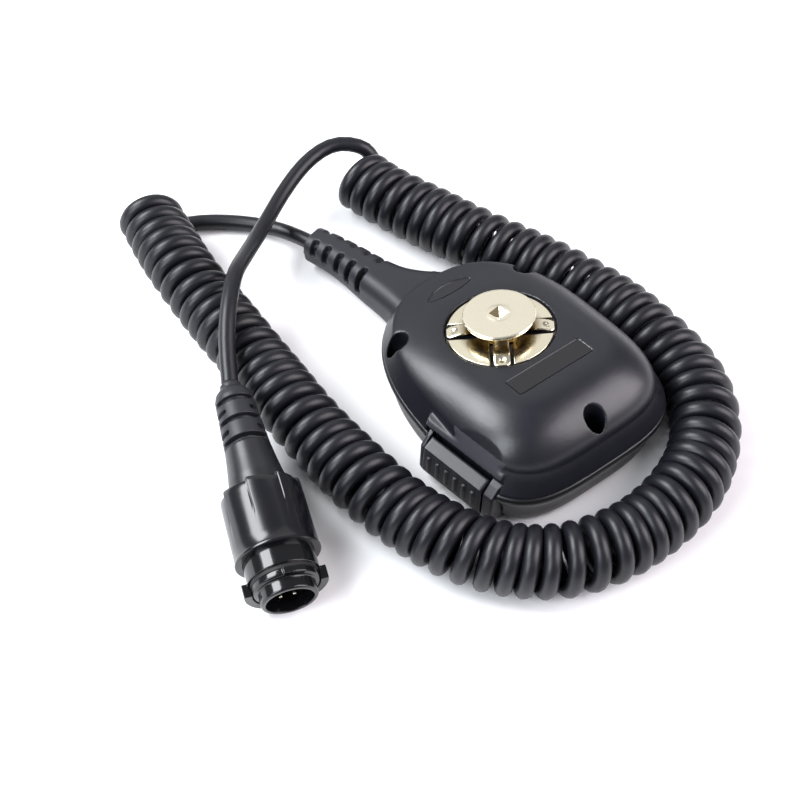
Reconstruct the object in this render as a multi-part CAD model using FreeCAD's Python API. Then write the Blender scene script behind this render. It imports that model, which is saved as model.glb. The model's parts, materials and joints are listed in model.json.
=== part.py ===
import FreeCAD, Part
import math
import os

# Hand microphone lying on its face, millimetres, +Z up, +Y towards the cord.
# The origin is under the middle of the case; the front face rests on z = 0.

Vec = FreeCAD.Vector

# ---- driving dimensions ------------------------------------------------------
CASE_X = 1.5              # centre line of the case
CASE_HALF_WIDTH = 30.7    # at the middle
CASE_TAPER = 0.06         # half width lost per mm towards the cord
CASE_FAR_Y = -38.5
CASE_CORD_Y = 38.5
FAR_SQUARENESS = 3.6      # exponents of the two halves of the outline
CORD_SQUARENESS = 2.5
SEAM_Z = 15.0
CREASE_Z = 21.8
CREASE_INSET = 2.8
SEAM_GROOVE = 0.35
WALL = 2.4
TOP_WALL = 4.0
FLOOR_WALL = 2.2

PLATEAU_HALF_WIDTH = 16.5
PLATEAU_FAR_Y = -19.5
PLATEAU_CORD_Y = 23.5
PLATEAU_SLOPE = 0.17      # height lost per mm towards the cord
BUTTON_Y = 6.0
PLATEAU_Z = 27.8          # height of the plateau under the hang-up button
DOME_POWER = 1.6

DISC_RADIUS = 9.75
DISC_THICKNESS = 1.5
NECK_RADIUS = 4.6
NECK_HEIGHT = 3.7
PLATE_RADIUS = 14.4
PLATE_THICKNESS = 0.9
PLATE_DEPTH = 1.2
STUD_RADIUS = 3.0
THREAD_GAP = 0.03

WELL_RADIUS = 2.9
WELL_FLOOR_Z = 12.4
POST_RADIUS = 4.5
POST_BOTTOM_Z = 8.2
SCREW_HEAD_RADIUS = 2.2
SCREW_SHANK_RADIUS = 1.3
SCREW_HOLE_RADIUS = 1.6   # through the back shell's post
SCREW_PILOT_RADIUS = 1.33 # in the front shell's post
SCREW_PLACES = [(CASE_X, -31.7), (CASE_X - 21.9, 22.2), (CASE_X + 21.9, 22.2)]

PTT_Y = -14.5             # middle of the push-to-talk bar
PTT_Z = 9.0               # height of the bar's stem
PTT_TURN = 8.5            # degrees about +Z, with the taper of the case's side
PTT_LENGTH = 20.4
PTT_LOW = 3.8
PTT_HIGH = 15.6
PTT_FACE_X = -31.6
PTT_BACK_X = -27.4
PTT_SEAT_X = -25.4        # the floor of the bezel, 0.2 behind the pressed bar
BEZEL_BACK_X = -24.4
BEZEL_FAR = 13.9          # from the bar's middle
BEZEL_CORD = 11.9
BEZEL_LOW = 2.8
BEZEL_HIGH = 16.2
PTT_PLAY = 0.3
BEZEL_GAP = 0.1

BOARD_Z = 12.2
BOARD_THICKNESS = 1.6

CORD_DIAMETER = 4.5
COIL_RADIUS = 9.75

PLUG_START = Vec(-63.0, 39.6, 18.2)
PLUG_MOUTH = Vec(-85.2, -20.0, 9.75)

PARTS = {}


# ---- helpers -----------------------------------------------------------------
def box(x0, x1, y0, y1, z0, z1):
    return Part.makeBox(x1 - x0, y1 - y0, z1 - z0, Vec(x0, y0, z0))


def rod(radius, start, direction, length):
    return Part.makeCylinder(radius, length, start, direction)


def upright(radius, x, y, z0, z1):
    return rod(radius, Vec(x, y, z0), Vec(0, 0, 1), z1 - z0)


def fuse_all(shapes):
    result = shapes[0]
    for shape in shapes[1:]:
        result = result.fuse(shape)
    return result


def cut_all(shape, tools):
    for tool in tools:
        shape = shape.cut(tool)
    return shape


def rounded_box(x0, x1, y0, y1, z0, z1, radius, direction):
    """A box whose edges along one axis are rounded."""
    shape = box(x0, x1, y0, y1, z0, z1)
    along = []
    for edge in shape.Edges:
        run = edge.Vertexes[1].Point - edge.Vertexes[0].Point
        if abs(run.normalize().dot(direction)) > 0.9:
            along.append(edge)
    return shape.makeFillet(radius, along)


def lathe(profile, axis_start, axis_direction):
    """Revolve (distance along the axis, radius) points about an axis."""
    points = [Vec(radius, 0, along) for along, radius in profile]
    points.append(points[0])
    solid = Part.Face(Part.makePolygon(points)).revolve(Vec(0, 0, 0), Vec(0, 0, 1), 360)
    turn = FreeCAD.Rotation(Vec(0, 0, 1), axis_direction)
    solid.Placement = FreeCAD.Placement(axis_start, turn)
    return solid


def add(name, shape):
    PARTS[name] = shape


# ---- case outlines -----------------------------------------------------------
def outline(half_width, y_far, y_cord, height, slope=0.0, steps=48):
    """A rounded, tapered outline on the plane z = height - slope * y."""
    y_middle = (y_far + y_cord) / 2
    half_length = (y_cord - y_far) / 2
    points = []
    for k in range(steps):
        cosine = math.cos(2 * math.pi * k / steps)
        sine = math.sin(2 * math.pi * k / steps)
        power = CORD_SQUARENESS if sine > 0 else FAR_SQUARENESS
        total = abs(cosine / half_width) ** power + abs(sine / half_length) ** power
        radius = total ** (-1 / power)
        y = y_middle + radius * sine
        x = CASE_X + radius * cosine * (1 - CASE_TAPER * y / CASE_HALF_WIDTH)
        points.append(Vec(x, y, height - slope * y))
    curve = Part.BSplineCurve()
    curve.interpolate(Points=points, PeriodicFlag=True)
    return Part.Wire(curve.toShape())


def inset_outline(inset, height):
    return outline(CASE_HALF_WIDTH - inset, CASE_FAR_Y + inset, CASE_CORD_Y - inset, height)


def dome_outline(inward, wall, drop):
    """A level of the dome: inward is 0 at the crease and 1 at the plateau."""
    rise = (1 - (1 - inward) ** DOME_POWER) ** (1 / DOME_POWER)
    half_width = (CASE_HALF_WIDTH - CREASE_INSET) * (1 - inward) + PLATEAU_HALF_WIDTH * inward
    y_far = (CASE_FAR_Y + CREASE_INSET) * (1 - inward) + PLATEAU_FAR_Y * inward
    y_cord = (CASE_CORD_Y - CREASE_INSET) * (1 - inward) + PLATEAU_CORD_Y * inward
    plateau_at_zero = PLATEAU_Z + PLATEAU_SLOPE * BUTTON_Y
    height = CREASE_Z + rise * (plateau_at_zero - CREASE_Z) - drop
    return outline(half_width - wall, y_far + wall, y_cord - wall, height, PLATEAU_SLOPE * rise)


DOME_LEVELS = [0.0, 0.06, 0.18, 0.36, 0.58, 0.8, 1.0]
FRONT_LEVELS = [(6.0, 0.0), (4.2, 0.7), (2.9, 2.2), (2.1, 5.5), (1.2, 10.0), (0.0, SEAM_Z - SEAM_GROOVE)]


def back_envelope():
    seam = Part.makeLoft([inset_outline(SEAM_GROOVE, SEAM_Z),
                          inset_outline(0, SEAM_Z + SEAM_GROOVE)], True, True)
    skirt = Part.makeLoft([inset_outline(0, SEAM_Z + SEAM_GROOVE),
                           inset_outline(CREASE_INSET, CREASE_Z)], True, True)
    dome = Part.makeLoft([dome_outline(level, 0, 0) for level in DOME_LEVELS], True, False)
    return fuse_all([seam, skirt, dome])


def back_cavity():
    skirt = Part.makeLoft([inset_outline(WALL + 0.3, SEAM_Z - 1),
                           inset_outline(CREASE_INSET + WALL, CREASE_Z - TOP_WALL + 1.6)], True, True)
    levels = [dome_outline(level, WALL, TOP_WALL - 1.6 * (1 - level)) for level in (0, 0.18, 0.4, 0.7, 1)]
    return skirt.fuse(Part.makeLoft(levels, True, True))


def front_envelope():
    body = Part.makeLoft([inset_outline(inset, z) for inset, z in FRONT_LEVELS], True, False)
    seam = Part.makeLoft([inset_outline(0, SEAM_Z - SEAM_GROOVE),
                          inset_outline(SEAM_GROOVE, SEAM_Z)], True, True)
    return fuse_all([body, seam])


def front_cavity():
    return Part.makeLoft([inset_outline(5.4, FLOOR_WALL),
                          inset_outline(4.7, 5.0),
                          inset_outline(WALL + 0.3, SEAM_Z + 1)], True, True)


# ---- hang-up button frame ----------------------------------------------------
PLATEAU_TILT = math.atan(PLATEAU_SLOPE)
BUTTON_PLACE = FreeCAD.Placement(
    Vec(CASE_X, BUTTON_Y, PLATEAU_Z),
    FreeCAD.Rotation(Vec(1, 0, 0), -math.degrees(PLATEAU_TILT)))
INNER_FACE = -TOP_WALL * math.cos(PLATEAU_TILT)


def placed(shape, placement):
    copy = shape.copy()
    copy.Placement = placement.multiply(shape.Placement)
    return copy


def on_plateau(shape):
    """Move a shape drawn on z = 0 about the button's axis onto the plateau."""
    return placed(shape, BUTTON_PLACE)


def hang_up_button():
    stud_end = INNER_FACE - 5.2
    profile = [(stud_end, 0), (stud_end, STUD_RADIUS), (-PLATE_DEPTH + PLATE_THICKNESS, STUD_RADIUS),
               (-PLATE_DEPTH + PLATE_THICKNESS, NECK_RADIUS), (NECK_HEIGHT, NECK_RADIUS),
               (NECK_HEIGHT, DISC_RADIUS - 0.5), (NECK_HEIGHT + 0.4, DISC_RADIUS),
               (NECK_HEIGHT + DISC_THICKNESS - 0.3, DISC_RADIUS),
               (NECK_HEIGHT + DISC_THICKNESS, DISC_RADIUS - 0.4),
               (NECK_HEIGHT + DISC_THICKNESS, 3.0), (NECK_HEIGHT + DISC_THICKNESS - 0.35, 2.6),
               (NECK_HEIGHT + DISC_THICKNESS + 0.1, 0)]
    return on_plateau(lathe(profile, Vec(0, 0, 0), Vec(0, 0, 1)))


FINGER_HALF_WIDTH = 2.0
SLOT_WIDTH = 1.0
FINGER_TURN = 53


def spring_plate():
    bottom = -PLATE_DEPTH
    plate = rod(PLATE_RADIUS, Vec(0, 0, bottom), Vec(0, 0, 1), PLATE_THICKNESS)
    plate = plate.cut(rod(STUD_RADIUS + THREAD_GAP, Vec(0, 0, bottom - 1), Vec(0, 0, 1), 4))
    for quarter in range(4):
        for side in (-1, 1):
            middle = side * (FINGER_HALF_WIDTH + SLOT_WIDTH / 2)
            slot = box(6.0, PLATE_RADIUS + 1, middle - SLOT_WIDTH / 2, middle + SLOT_WIDTH / 2,
                       bottom - 1, bottom + 2)
            slot.rotate(Vec(0, 0, 0), Vec(0, 0, 1), FINGER_TURN + 90 * quarter)
            plate = plate.cut(slot)
    return on_plateau(plate)


def stud_washer():
    ring = lathe([(INNER_FACE - 0.8, STUD_RADIUS + THREAD_GAP), (INNER_FACE - 0.8, 5.6),
                  (INNER_FACE, 5.6), (INNER_FACE, STUD_RADIUS + THREAD_GAP)],
                 Vec(0, 0, 0), Vec(0, 0, 1))
    return on_plateau(ring)


def stud_nut():
    corners = [Vec(4.3 * math.cos(math.radians(60 * k)), 4.3 * math.sin(math.radians(60 * k)),
                   INNER_FACE - 3.6) for k in range(7)]
    nut = Part.Face(Part.makePolygon(corners)).extrude(Vec(0, 0, 2.4))
    nut = nut.cut(rod(STUD_RADIUS + THREAD_GAP, Vec(0, 0, INNER_FACE - 4), Vec(0, 0, 1), 4))
    return on_plateau(nut)


def hook_contact():
    """Eyelet under the stud nut with a leg down to the circuit board."""
    eyelet = lathe([(INNER_FACE - 1.2, STUD_RADIUS + THREAD_GAP), (INNER_FACE - 1.2, 5.4),
                    (INNER_FACE - 0.8, 5.4), (INNER_FACE - 0.8, STUD_RADIUS + THREAD_GAP)],
                   Vec(0, 0, 0), Vec(0, 0, 1))
    tab = box(-1.5, 1.5, -7.6, -4.6, INNER_FACE - 1.2, INNER_FACE - 0.8)
    strip = on_plateau(eyelet.fuse(tab))
    leg_y = BUTTON_Y - 7.9
    leg_top = PLATEAU_Z - PLATEAU_SLOPE * (leg_y - BUTTON_Y) - TOP_WALL - 1.05
    leg = box(CASE_X - 1.5, CASE_X + 1.5, leg_y - 0.4, leg_y, BOARD_Z + BOARD_THICKNESS, leg_top)
    foot = box(CASE_X - 1.5, CASE_X + 1.5, leg_y - 2.6, leg_y, BOARD_Z + BOARD_THICKNESS,
               BOARD_Z + BOARD_THICKNESS + 0.4)
    return fuse_all([strip, leg, foot])


# ---- shells ------------------------------------------------------------------
LABEL_Y = -13.8
LABEL_LENGTH = 24.6
LABEL_WIDTH = 6.2
LABEL_DEPTH = 0.5
INLAY_DEPTH = 0.6
CORD_HOLE_HALF = 7.2
CORD_HOLE_Z = (4.4, 15.6)


def label_prism(gap, z0, z1):
    half_length = LABEL_LENGTH / 2 - gap
    half_width = LABEL_WIDTH / 2 - gap
    middle = (LABEL_Y - BUTTON_Y) / math.cos(PLATEAU_TILT)
    prism = rounded_box(-half_length, half_length, middle - half_width, middle + half_width,
                        z0, z1, 0.5, Vec(0, 0, 1))
    return on_plateau(prism)


def lens_prism(gap):
    """An upright prism between two shallow arcs, near the cord."""
    half_length = 7.8 - gap
    near = Vec(CASE_X, 25.9 + gap, 0)
    far = Vec(CASE_X, 30.3 - gap, 0)
    left = Vec(CASE_X - half_length, 27.4, 0)
    right = Vec(CASE_X + half_length, 27.4, 0)
    edges = [Part.Arc(left, far, right).toShape(), Part.Arc(right, near, left).toShape()]
    return Part.Face(Part.Wire(edges)).extrude(Vec(0, 0, 40))


def lowered(shape, depth):
    copy = shape.copy()
    copy.translate(Vec(0, 0, -depth))
    return copy


def on_side(shape):
    """Turn a shape drawn square to the case into line with the push-to-talk bar."""
    copy = shape.copy()
    copy.rotate(Vec(-28, PTT_Y, 0), Vec(0, 0, 1), PTT_TURN)
    return copy


def case_pocket():
    """The opening in both shells that takes the push-to-talk bezel and its seal."""
    opening = box(-45, BEZEL_BACK_X + BEZEL_GAP,
                  PTT_Y - BEZEL_FAR - BEZEL_GAP, PTT_Y + BEZEL_CORD + BEZEL_GAP,
                  BEZEL_LOW - BEZEL_GAP, BEZEL_HIGH + BEZEL_GAP)
    seal_room = box(BEZEL_BACK_X - 1, BEZEL_BACK_X + 3.6, PTT_Y - 5, PTT_Y + 5, 4.0, 14.0)
    return on_side(opening.fuse(seal_room))


def cord_hole():
    return rounded_box(CASE_X - CORD_HOLE_HALF, CASE_X + CORD_HOLE_HALF, 28, 45,
                       CORD_HOLE_Z[0], CORD_HOLE_Z[1], 2.5, Vec(0, 1, 0))


BOSS_SKIN = 0.9           # front shell left outside a screw boss


def boss_room(inset):
    """The room below the seam that the screw bosses may fill."""
    return Part.makeLoft([inset_outline(inset + 2.1, 5.5), inset_outline(inset + 1.2, 10.0),
                          inset_outline(inset, SEAM_Z + 1)], True, True)


BROW_EDGE = (-27.7, 19.6)   # x and z of the brow's outer edge
BROW_INNER = (-25.5, 24.5)  # where its sloping facet runs into the dome
BROW_TOP = 20.6             # the brow's height where it stands clear of the dome
BROW_FAR = 14.4             # from the bar's middle
BROW_CORD = 12.9
BROW_BACK_X = -22.5
BROW_UNDER = [(-26.3, SEAM_Z), (-26.3, 17.5), (-27.9, 18.9)]   # x and z up its hollow underside


def side_prism(profile, far, cord):
    """A prism along the push-to-talk bar from an (x, z) profile."""
    points = [Vec(x, PTT_Y + far, z) for x, z in profile]
    points.append(points[0])
    return Part.Face(Part.makePolygon(points)).extrude(Vec(0, cord - far, 0))


def facet_point(z):
    """The brow's facet carried on to a height."""
    share = (z - BROW_EDGE[1]) / (BROW_INNER[1] - BROW_EDGE[1])
    return (BROW_EDGE[0] + share * (BROW_INNER[0] - BROW_EDGE[0]), z)


def ptt_brow():
    """The brow that hangs over the push-to-talk bar, with rounded ends."""
    profile = BROW_UNDER + [BROW_EDGE, facet_point(BROW_TOP), (BROW_BACK_X, BROW_TOP + 0.6),
                            (BROW_BACK_X, BROW_UNDER[0][1])]
    brow = side_prism(profile, -BROW_FAR, BROW_CORD)
    ends = [edge for edge in brow.Edges
            if edge.BoundBox.YLength < 0.01 and edge.BoundBox.ZMin > 18.8 and edge.BoundBox.XMax < -26.0]
    return on_side(brow.makeFillet(1.4, ends))


def brow_facet():
    """What is planed off the flank above the brow and off the skirt below it."""
    outer, top, low = -38.0, 30.0, SEAM_Z - 0.1
    profile = [(BROW_UNDER[0][0], low)] + BROW_UNDER
    profile += [BROW_EDGE, facet_point(top), (outer, top), (outer, low)]
    return on_side(side_prism(profile, -BROW_FAR, BROW_CORD))


def back_shell(envelope):
    shell = envelope.cut(brow_facet())
    shell = shell.cut(back_cavity())
    posts = [upright(POST_RADIUS, x, y, POST_BOTTOM_Z, 40) for x, y in SCREW_PLACES]
    skirt_room = boss_room(1.05)
    guard = envelope.fuse(skirt_room)
    shell = fuse_all([shell, ptt_brow()] + [post.common(guard) for post in posts])
    cuts = [upright(WELL_RADIUS, x, y, WELL_FLOOR_Z, 45) for x, y in SCREW_PLACES]
    cuts += [upright(SCREW_HOLE_RADIUS, x, y, 0, 45) for x, y in SCREW_PLACES]
    cuts.append(on_plateau(rod(PLATE_RADIUS + 0.6, Vec(0, 0, -PLATE_DEPTH), Vec(0, 0, 1), 6)))
    cuts.append(on_plateau(rod(STUD_RADIUS + 0.1, Vec(0, 0, -12), Vec(0, 0, 1), 14)))
    cuts.append(label_prism(0, -LABEL_DEPTH, 4))
    cuts.append(lens_prism(0).cut(lowered(envelope, INLAY_DEPTH)))
    cuts.append(case_pocket())
    cuts.append(cord_hole())
    return cut_all(shell, cuts)


GRILLE_Y = -17.0
GRILLE_RADIUS = 11.5
GRILLE_PITCH = 2.9
GRILLE_HALF_SLOT = 0.65
BOARD_POSTS = [(-14, 14), (17, 14), (-14, -20), (17, -20)]


def front_shell(envelope):
    shell = envelope.cut(front_cavity())
    posts = [upright(3.6, x, y, 1.0, POST_BOTTOM_Z).common(envelope) for x, y in SCREW_PLACES]
    posts += [upright(2.0, x, y, 1.0, BOARD_Z) for x, y in BOARD_POSTS]
    shell = fuse_all([shell] + posts)
    cuts = [upright(SCREW_PILOT_RADIUS, x, y, 3.2, 12) for x, y in SCREW_PLACES]
    cuts += [upright(POST_RADIUS + 0.1, x, y, POST_BOTTOM_Z, 20).common(boss_room(BOSS_SKIN))
             for x, y in SCREW_PLACES]
    for row in range(-3, 4):
        half = math.sqrt(GRILLE_RADIUS ** 2 - (GRILLE_PITCH * row) ** 2)
        y = GRILLE_Y + GRILLE_PITCH * row
        cuts.append(rounded_box(CASE_X - half, CASE_X + half, y - GRILLE_HALF_SLOT, y + GRILLE_HALF_SLOT,
                                -1, FLOOR_WALL + 1, 0.6, Vec(0, 0, 1)))
    cuts.append(case_pocket())
    cuts.append(cord_hole())
    return cut_all(shell, cuts)


def label_plate():
    return label_prism(0.15, -LABEL_DEPTH, -0.1)


def badge_inlay(envelope):
    return lens_prism(0.25).common(lowered(envelope, 0.2)).cut(lowered(envelope, INLAY_DEPTH))


def case_screws():
    screws = []
    for x, y in SCREW_PLACES:
        head = upright(SCREW_HEAD_RADIUS, x, y, WELL_FLOOR_Z, WELL_FLOOR_Z + 1.9)
        head = head.makeFillet(0.8, [head.Edges[0]])
        shank = upright(SCREW_SHANK_RADIUS, x, y, 3.4, WELL_FLOOR_Z + 0.5)
        screw = head.fuse(shank)
        for turn in (0, 90):
            blade = box(-1.3, 1.3, -0.3, 0.3, WELL_FLOOR_Z + 0.9, WELL_FLOOR_Z + 3)
            blade.rotate(Vec(0, 0, 0), Vec(0, 0, 1), turn)
            blade.translate(Vec(x, y, 0))
            screw = screw.cut(blade)
        screws.append(screw)
    return Part.makeCompound(screws)


# ---- push to talk ------------------------------------------------------------
def ptt_bezel():
    half = PTT_LENGTH / 2
    frame = side_prism([(-30.3, BEZEL_LOW), (-30.9, 4.6), (-30.5, 13.0), (-28.2, 15.3), (-26.8, BEZEL_HIGH),
                        (BEZEL_BACK_X, BEZEL_HIGH), (BEZEL_BACK_X, BEZEL_LOW)], -BEZEL_FAR, BEZEL_CORD)
    ends = [edge for edge in frame.Edges if edge.BoundBox.XMax < -27.9 and edge.BoundBox.YLength < 0.01]
    frame = frame.makeFillet(0.8, ends)
    room = box(-40, PTT_SEAT_X, PTT_Y - half - PTT_PLAY, PTT_Y + half + PTT_PLAY, PTT_LOW - PTT_PLAY, 20)
    stem_hole = rod(2.3, Vec(PTT_SEAT_X - 1, PTT_Y, PTT_Z), Vec(1, 0, 0), 6)
    return on_side(cut_all(frame, [room, stem_hole]))


RIB_COUNT = 6
RIB_HEIGHT = 0.25


def ptt_button():
    half = PTT_LENGTH / 2
    body = side_prism([(PTT_FACE_X + 0.8, PTT_LOW), (PTT_FACE_X, PTT_LOW + 1.4), (PTT_FACE_X + 0.6, 14.1),
                       (-28.0, PTT_HIGH), (PTT_BACK_X, PTT_HIGH), (PTT_BACK_X, PTT_LOW)], -half, half)
    ends = [edge for edge in body.Edges if edge.BoundBox.XMax < -27.9 and edge.BoundBox.YLength < 0.01]
    body = body.makeFillet(0.7, ends)
    pitch = (PTT_LENGTH - 5.0) / (RIB_COUNT - 1)
    for k in range(RIB_COUNT):
        y = PTT_Y - half + 2.5 + k * pitch
        body = body.fuse(box(PTT_FACE_X - RIB_HEIGHT, PTT_FACE_X + 1, y - 0.45, y + 0.45, 6.2, 11.9))
    stem = rod(2.0, Vec(PTT_BACK_X - 0.6, PTT_Y, PTT_Z), Vec(1, 0, 0), 5.4)
    return on_side(body.fuse(stem))


SWITCH_X = (-20.2, -14.2)


def ptt_seal():
    ring = rod(4.4, Vec(BEZEL_BACK_X, PTT_Y, PTT_Z), Vec(1, 0, 0), 1.2)
    return on_side(ring.cut(rod(2.3, Vec(BEZEL_BACK_X - 1, PTT_Y, PTT_Z), Vec(1, 0, 0), 3)))


def ptt_switch():
    body = rounded_box(*SWITCH_X, PTT_Y - 3.2, PTT_Y + 3.2, 5.8, BOARD_Z, 0.4, Vec(1, 0, 0))
    return on_side(body.cut(rod(1.5, Vec(SWITCH_X[0] - 1, PTT_Y, PTT_Z), Vec(1, 0, 0), 3.3)))


def switch_plunger():
    return on_side(rod(1.42, Vec(SWITCH_X[0] - 1.4, PTT_Y, PTT_Z), Vec(1, 0, 0), 2.6))


# ---- electronics -------------------------------------------------------------
def circuit_board():
    board = rounded_box(-21.0, 24.0, -23.5, 17.5, BOARD_Z, BOARD_Z + BOARD_THICKNESS, 2.0, Vec(0, 0, 1))
    chip = box(6, 13, 0, 7, BOARD_Z + BOARD_THICKNESS, BOARD_Z + BOARD_THICKNESS + 1.4)
    coil = upright(2.6, 16, -9, BOARD_Z + BOARD_THICKNESS, BOARD_Z + BOARD_THICKNESS + 3.4)
    return fuse_all([board, chip, coil])


CAPSULE_RADIUS = 4.85
CAPSULE_BOTTOM_Z = 3.4
CAPSULE_TOP_Z = 9.9


def microphone_capsule():
    return upright(CAPSULE_RADIUS, CASE_X, GRILLE_Y, CAPSULE_BOTTOM_Z, CAPSULE_TOP_Z)


def capsule_gasket():
    cup = upright(7.0, CASE_X, GRILLE_Y, 2.6, 9.6)
    cup = cup.cut(upright(CAPSULE_RADIUS + 0.03, CASE_X, GRILLE_Y, CAPSULE_BOTTOM_Z, 12))
    return cup.cut(upright(3.6, CASE_X, GRILLE_Y, 0, 12))


def dust_cloth():
    return upright(7.4, CASE_X, GRILLE_Y, FLOOR_WALL, FLOOR_WALL + 0.4)


def capsule_pins():
    return Part.makeCompound([upright(0.5, CASE_X + side * 1.5, GRILLE_Y, CAPSULE_TOP_Z, BOARD_Z)
                              for side in (-1, 1)])


def board_connector():
    body = box(CASE_X - 6, CASE_X + 6, 10.5, 16.5, BOARD_Z - 5.6, BOARD_Z)
    return body.cut(box(CASE_X - 5, CASE_X + 5, 12.5, 18, BOARD_Z - 4.6, BOARD_Z - 1.2))


# ---- strain relief -----------------------------------------------------------
# (x, y, z, half width, half height, corner radius) down the boot's middle line
BOOT_SECTIONS = [
    (0.8, 33.0, 9.6, 13.4, 7.0, 4.6),
    (-1.0, 39.0, 9.4, 10.4, 6.7, 4.6),
    (-3.2, 45.5, 9.2, 7.7, 6.3, 4.4),
    (-4.9, 53.0, 8.8, 6.4, 6.0, 4.3),
    (-5.9, 61.5, 8.1, 5.7, 5.5, 4.2),
    (-7.3, 70.0, 7.3, 5.2, 5.1, 4.0),
    (-9.4, 77.9, 6.6, 4.8, 4.7, 3.6)]
SLOT_COUNT = 5
SLOT_FIRST = 3.6          # from the boot's tip
SLOT_PITCH = 5.1
SLOT_HALF = 1.1
SLOT_END = 0.6            # height of the first slot's lower end over the middle line
SLOT_DROP = 0.4           # how much lower each next slot ends
SPINE_HALF = 1.7          # left whole along the boot's top
SLOT_CORE = 2.8           # radius left whole round the cord


def boot_direction(index):
    before = BOOT_SECTIONS[max(index - 1, 0)]
    after = BOOT_SECTIONS[min(index + 1, len(BOOT_SECTIONS) - 1)]
    return Vec(after[0] - before[0], after[1] - before[1], after[2] - before[2]).normalize()


def rounded_rectangle(centre, direction, half_width, half_height, radius):
    """A closed wire of lines and arcs, square to a direction."""
    across = direction.cross(Vec(0, 0, 1)).normalize()
    up = across.cross(direction)
    flat_w = half_width - radius
    flat_h = half_height - radius

    def at(u, v):
        return centre + across * u + up * v

    edges = []
    for k in range(4):
        su = (1, -1, -1, 1)[k]
        sv = (1, 1, -1, -1)[k]
        middle = (su * (flat_w + radius * math.sqrt(0.5)), sv * (flat_h + radius * math.sqrt(0.5)))
        ends = [(su * half_width, sv * flat_h), (su * flat_w, sv * half_height)]
        if k % 2:
            ends.reverse()
        edges.append(Part.Arc(at(*ends[0]), at(*middle), at(*ends[1])).toShape())
    wire = []
    for k in range(4):
        wire.append(edges[k])
        start = edges[k].valueAt(edges[k].LastParameter)
        end = edges[(k + 1) % 4].valueAt(edges[(k + 1) % 4].FirstParameter)
        wire.append(Part.LineSegment(start, end).toShape())
    return Part.Wire(wire)


def boot_point(distance):
    """A point and direction on the boot's middle line, a distance back from its tip."""
    left = distance
    for k in range(len(BOOT_SECTIONS) - 1, 0, -1):
        end = Vec(*BOOT_SECTIONS[k][:3])
        start = Vec(*BOOT_SECTIONS[k - 1][:3])
        run = (start - end).Length
        if left <= run:
            return end + (start - end) * (left / run), (end - start).normalize()
        left -= run
    raise ValueError(distance)


def boot_slots():
    """Slots with round ends, from beside the boot's spine over its edge and down its side."""
    slots = []
    reach = 12
    for k in range(SLOT_COUNT):
        centre, along = boot_point(SLOT_FIRST + SLOT_PITCH * k)
        across = along.cross(Vec(0, 0, 1)).normalize()
        up = across.cross(along)
        low = SLOT_END - SLOT_DROP * k
        for side in (-1, 1):
            over = rounded_box(SPINE_HALF, reach, -SLOT_HALF, SLOT_HALF, SLOT_CORE, reach,
                               SLOT_HALF - 0.05, Vec(0, 0, 1))
            beside = rounded_box(SLOT_CORE, reach, -SLOT_HALF, SLOT_HALF, low, reach,
                                 SLOT_HALF - 0.05, Vec(1, 0, 0))
            slot = over.fuse(beside)
            # slot axes: x across the boot, y along it, z up
            turn = FreeCAD.Rotation(across * side, along * side, up, "XYZ")
            slot.Placement = FreeCAD.Placement(centre, turn)
            slots.append(slot.cut(rod(SLOT_CORE, centre - along * 9, along, 18)))
    return slots


CORD_AXIS_Z = 9.9         # the cord's middle line inside the case


def strain_relief(case_solid):
    wires = [rounded_rectangle(Vec(*row[:3]), boot_direction(k), row[3], row[4], row[5])
             for k, row in enumerate(BOOT_SECTIONS)]
    boot = Part.makeLoft(wires, True, False)
    boot = cut_all(boot.cut(case_solid), boot_slots())
    tongue = rounded_box(CASE_X - 7.1, CASE_X + 7.1, 31.0, 42.0, 4.5, 15.5, 2.4, Vec(0, 1, 0))
    flange = box(CASE_X - 9.4, CASE_X + 9.4, 29.6, 31.6, 4.9, 15.0)
    boot = fuse_all([boot, tongue, flange])
    return boot.cut(rod(CORD_DIAMETER / 2 + 0.05, Vec(CASE_X, 28, CORD_AXIS_Z), Vec(0, 1, 0), 10))


def cord_inner_end():
    """The jacket's end inside the case, from the boot to the clamp and the connector."""
    return rod(CORD_DIAMETER / 2, Vec(CASE_X, 20.0, CORD_AXIS_Z), Vec(0, 1, 0), 17.9)


def cord_clamp():
    strap = rounded_box(CASE_X - 7, CASE_X + 7, 22.0, 27.0, FLOOR_WALL, 13.4, 1.5, Vec(0, 1, 0))
    return strap.cut(rod(CORD_DIAMETER / 2 + 0.03, Vec(CASE_X, 20, CORD_AXIS_Z), Vec(0, 1, 0), 10))


def lead_wires():
    wires = []
    for k in range(4):
        x = CASE_X + 1.1 * (k - 1.5)
        wires.append(rod(0.45, Vec(x, 12.5, 9.4), Vec(0, 1, 0), 7.5))
    return Part.makeCompound(wires)


# ---- cord --------------------------------------------------------------------
COIL_ROUTE = [
    (-42.9, 117.5, 9.75), (-46.0, 101.0, 9.75), (-48.2, 83.0, 9.75), (-48.8, 64.5, 9.75),
    (-49.5, 46.0, 9.75), (-50.6, 28.0, 9.75), (-50.3, 10.0, 9.75), (-49.0, -8.0, 9.75),
    (-45.3, -25.0, 9.75), (-38.0, -40.0, 9.75), (-26.5, -51.0, 9.75), (-11.5, -56.3, 9.75),
    (4.8, -56.8, 9.75), (21.0, -52.7, 9.75), (34.6, -42.8, 9.75), (42.6, -27.8, 9.75),
    (43.8, -10.8, 9.75), (42.5, 5.5, 9.75), (38.4, 21.5, 9.75), (32.2, 37.5, 9.75),
    (26.2, 53.5, 9.75), (20.6, 69.5, 9.75), (16.6, 82.5, 9.75), (15.2, 94.0, 9.75)]

MIC_LEAD_ROUTE = [
    (-9.4, 77.9, 6.6), (-11.0, 86.3, 5.0), (-14.6, 95.0, 3.3), (-21.0, 103.2, 2.5),
    (-30.6, 110.6, 2.5), (-41.0, 114.8, 2.6)]

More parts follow.
